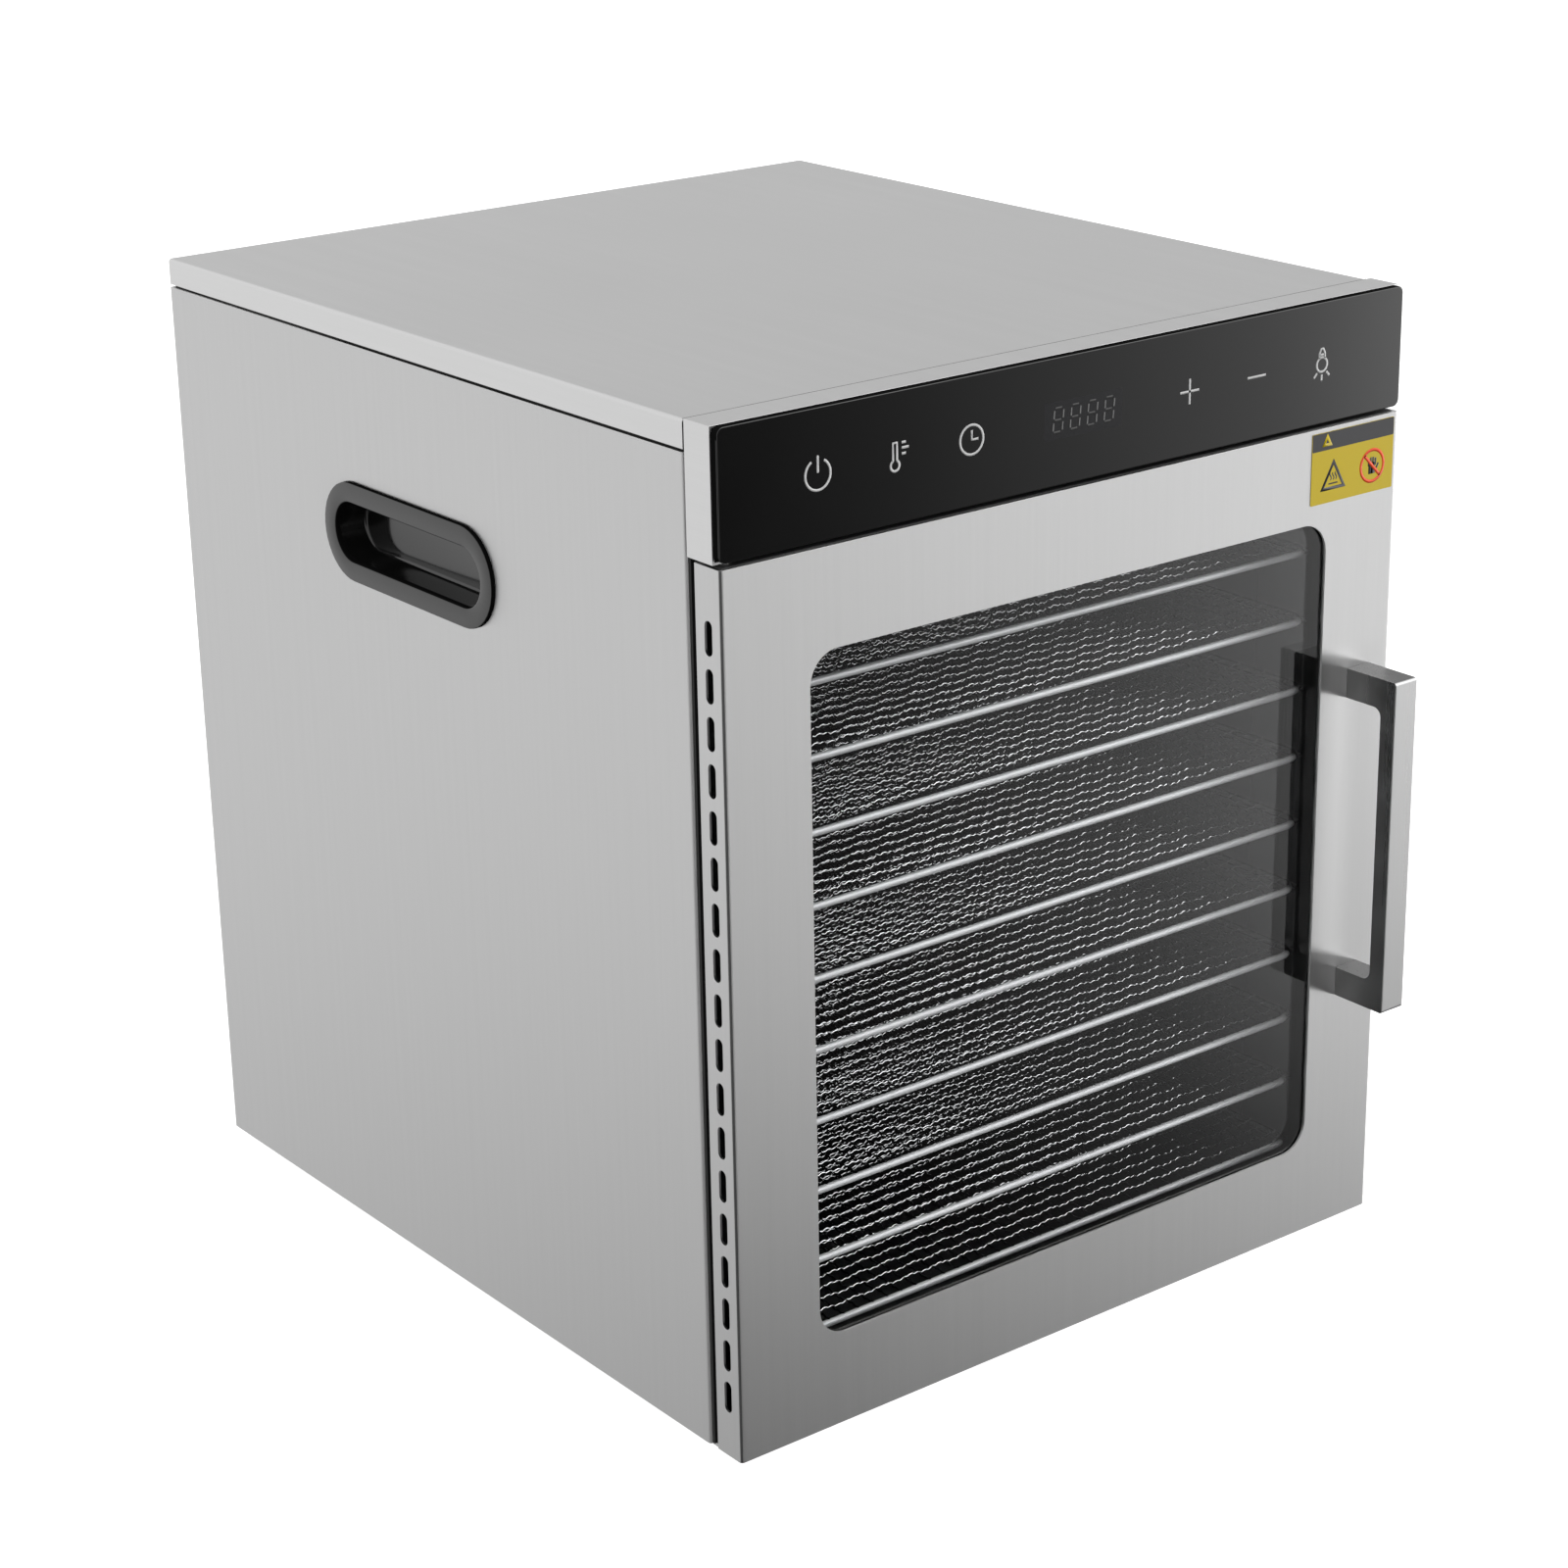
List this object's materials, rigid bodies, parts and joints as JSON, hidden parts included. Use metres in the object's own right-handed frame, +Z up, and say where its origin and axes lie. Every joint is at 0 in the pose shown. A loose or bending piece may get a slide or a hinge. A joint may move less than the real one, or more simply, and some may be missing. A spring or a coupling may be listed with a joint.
{
  "type": "food dehydrator",
  "caption": "Cabinet food dehydrator in brushed steel: hinged glass door with air slots and bar handle, black touch panel, wire mesh trays, recessed carrying handles and a rear fan.",
  "frame": {"origin": "under the middle of the overall box, on the surface that the feet stand on", "axes": "+Z up, the door faces -Y, +X to the right seen from the door"},
  "size_m": [0.349, 0.4498, 0.416],
  "materials": {
    "stainless": "fine brushed stainless sheet, satin",
    "stainless_inner": "bright rolled stainless sheet",
    "frame_steel": "dark grey sheet, satin",
    "wire": "bright welded stainless wire",
    "door_glass": "clear tempered glass, slightly grey",
    "panel_glass": "black back-printed glass, polished",
    "black_plastic": "moulded, fine satin",
    "rubber": "matt black",
    "silicone": "matt black silicone strip",
    "fasteners": "zinc plated, bright",
    "brass": "machined",
    "motor": "dark laminated core and wound coil",
    "heater": "heat-tinted sheath",
    "circuit_board": "green lacquer",
    "lead_insulation": "grey flexible insulation",
    "lamp": "frosted lens",
    "sticker": "yellow printed film"
  },
  "bodies": {
    "cabinet": {"top_cover": "stainless", "top_frame": "frame_steel", "left_side_panel": "stainless", "right_side_panel": "stainless", "rear_panel": "stainless", "rear_cover": "frame_steel", "base_pan": "stainless_inner", "feet": "rubber", "case_screws": "fasteners", "front_frame": "frame_steel", "cavity_left_wall": "stainless_inner", "cavity_right_wall": "stainless_inner", "cavity_ceiling": "stainless_inner", "cavity_floor": "stainless_inner", "rear_baffle": "stainless_inner", "board_posts": "fasteners", "tray_rack_left": "stainless_inner", "tray_rack_right": "stainless_inner", "fan_motor": "motor", "heater_ring": "heater", "heater_brackets": "stainless_inner", "control_housing": "stainless", "control_glass": "panel_glass", "touch_board": "circuit_board", "display_module": "black_plastic", "power_board": "circuit_board", "wiring": "lead_insulation", "mains_inlet": "black_plastic", "inlet_pins": "brass", "cavity_lamp": "black_plastic", "lamp_lens": "lamp", "temperature_probe": "fasteners", "thermal_cutout": "black_plastic", "carry_handle_left": "black_plastic", "carry_handle_right": "black_plastic", "hinge_bracket": "stainless", "hinge_pins": "fasteners", "catch_magnets": "frame_steel"},
    "door": {"door_panel": "stainless", "door_glass": "door_glass", "glass_gasket": "silicone", "glass_retainer": "stainless_inner", "door_screws": "fasteners", "door_handle": "stainless", "door_seal": "silicone", "hinge_bushes": "brass", "safety_label": "sticker"},
    "fan": {"fan_impeller": "stainless_inner", "fan_shaft": "fasteners"},
    "tray_01": {"tray_01": "wire"},
    "tray_02": {"tray_02": "wire"},
    "tray_03": {"tray_03": "wire"},
    "tray_04": {"tray_04": "wire"},
    "tray_05": {"tray_05": "wire"},
    "tray_06": {"tray_06": "wire"},
    "tray_07": {"tray_07": "wire"},
    "tray_08": {"tray_08": "wire"},
    "tray_09": {"tray_09": "wire"},
    "tray_10": {"tray_10": "wire"}
  },
  "joints": [
    {"name": "door_hinge", "type": "hinge", "parent": "cabinet", "child": "door", "pos_m": [-0.1655, -0.1905, 0.18], "axis": [0, 0, -1], "range_deg": [0, 170]},
    {"name": "fan_spin", "type": "hinge", "parent": "cabinet", "child": "fan", "pos_m": [0, 0.1775, 0.175], "axis": [0, 1, 0], "continuous": true},
    {"name": "tray_01_slide", "type": "slide", "parent": "cabinet", "child": "tray_01", "axis": [0, -1, 0], "range_m": [0, 0.014]},
    {"name": "tray_02_slide", "type": "slide", "parent": "cabinet", "child": "tray_02", "axis": [0, -1, 0], "range_m": [0, 0.014]},
    {"name": "tray_03_slide", "type": "slide", "parent": "cabinet", "child": "tray_03", "axis": [0, -1, 0], "range_m": [0, 0.014]},
    {"name": "tray_04_slide", "type": "slide", "parent": "cabinet", "child": "tray_04", "axis": [0, -1, 0], "range_m": [0, 0.014]},
    {"name": "tray_05_slide", "type": "slide", "parent": "cabinet", "child": "tray_05", "axis": [0, -1, 0], "range_m": [0, 0.014]},
    {"name": "tray_06_slide", "type": "slide", "parent": "cabinet", "child": "tray_06", "axis": [0, -1, 0], "range_m": [0, 0.014]},
    {"name": "tray_07_slide", "type": "slide", "parent": "cabinet", "child": "tray_07", "axis": [0, -1, 0], "range_m": [0, 0.014]},
    {"name": "tray_08_slide", "type": "slide", "parent": "cabinet", "child": "tray_08", "axis": [0, -1, 0], "range_m": [0, 0.014]},
    {"name": "tray_09_slide", "type": "slide", "parent": "cabinet", "child": "tray_09", "axis": [0, -1, 0], "range_m": [0, 0.014]},
    {"name": "tray_10_slide", "type": "slide", "parent": "cabinet", "child": "tray_10", "axis": [0, -1, 0], "range_m": [0, 0.014]}
  ]
}
